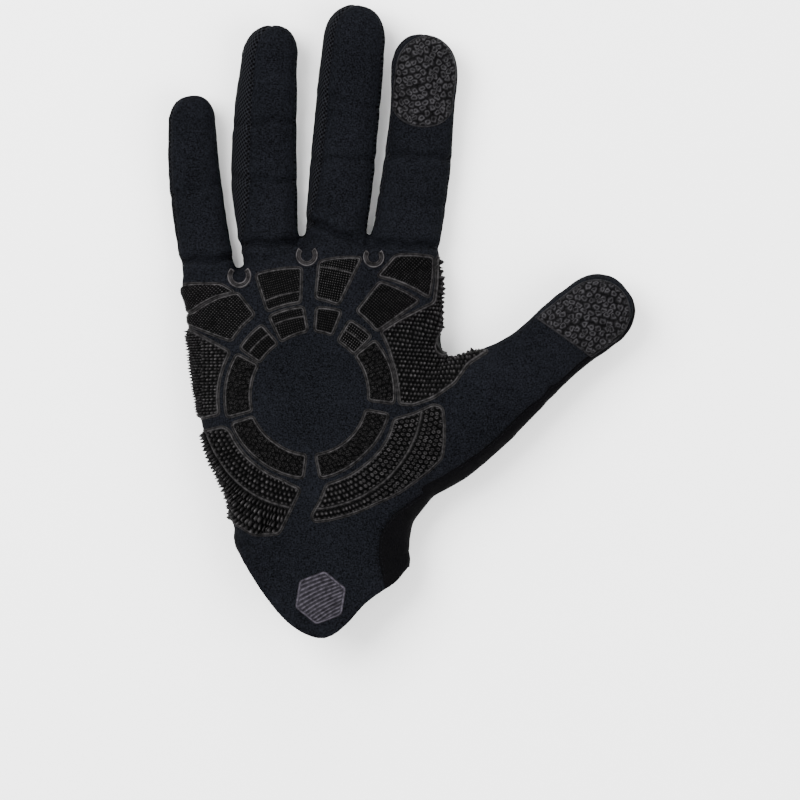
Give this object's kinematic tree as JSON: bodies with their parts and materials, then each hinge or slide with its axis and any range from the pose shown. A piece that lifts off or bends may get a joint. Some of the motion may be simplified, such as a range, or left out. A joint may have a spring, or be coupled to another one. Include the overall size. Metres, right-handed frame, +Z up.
{
  "type": "cycling glove",
  "caption": "Right-hand full-finger cycling glove with a ring of ribbed silicone grip pads on the palm, touch tips and a short slip-on cuff, lying palm up.",
  "frame": {"origin": "the middle of the palm's ring of pads, on the face that the glove lies on", "axes": "+Y towards the middle fingertip, +X towards the thumb, +Z up out of the palm"},
  "size_m": [0.1696, 0.2302, 0.0284],
  "materials": {
    "cloth": "brushed knit",
    "mesh": "open mesh knit",
    "stretch": "smooth stretch knit",
    "silicone": "satin, ribbed and studded",
    "touch": "satin, printed with small rings"
  },
  "bodies": {
    "root": {"palm_panel": "cloth", "fourchette_little_ring": "mesh", "fourchette_ring_middle": "mesh", "fourchette_middle_index": "mesh", "thumb_back_panel": "stretch", "back_panel": "mesh", "pad_little_tip": "silicone", "pad_little": "silicone", "pad_ring": "silicone", "pad_ring_small": "silicone", "pad_little_small": "silicone", "pad_ulnar_inner": "silicone", "pad_heel_inner_ulnar": "silicone", "pad_ulnar": "silicone", "pad_heel_ulnar": "silicone", "pad_middle": "silicone", "pad_middle_small": "silicone", "pad_index_tip": "silicone", "pad_index": "silicone", "pad_index_small": "silicone", "pad_radial_inner": "silicone", "pad_heel_inner_radial": "silicone", "pad_heel_radial": "silicone", "pad_thumb_web": "silicone", "crotch_ring_little": "silicone", "crotch_ring_middle": "silicone", "crotch_ring_index": "silicone", "touch_tip_index": "touch", "touch_tip_thumb": "touch", "cuff_badge": "silicone"}
  },
  "joints": []
}
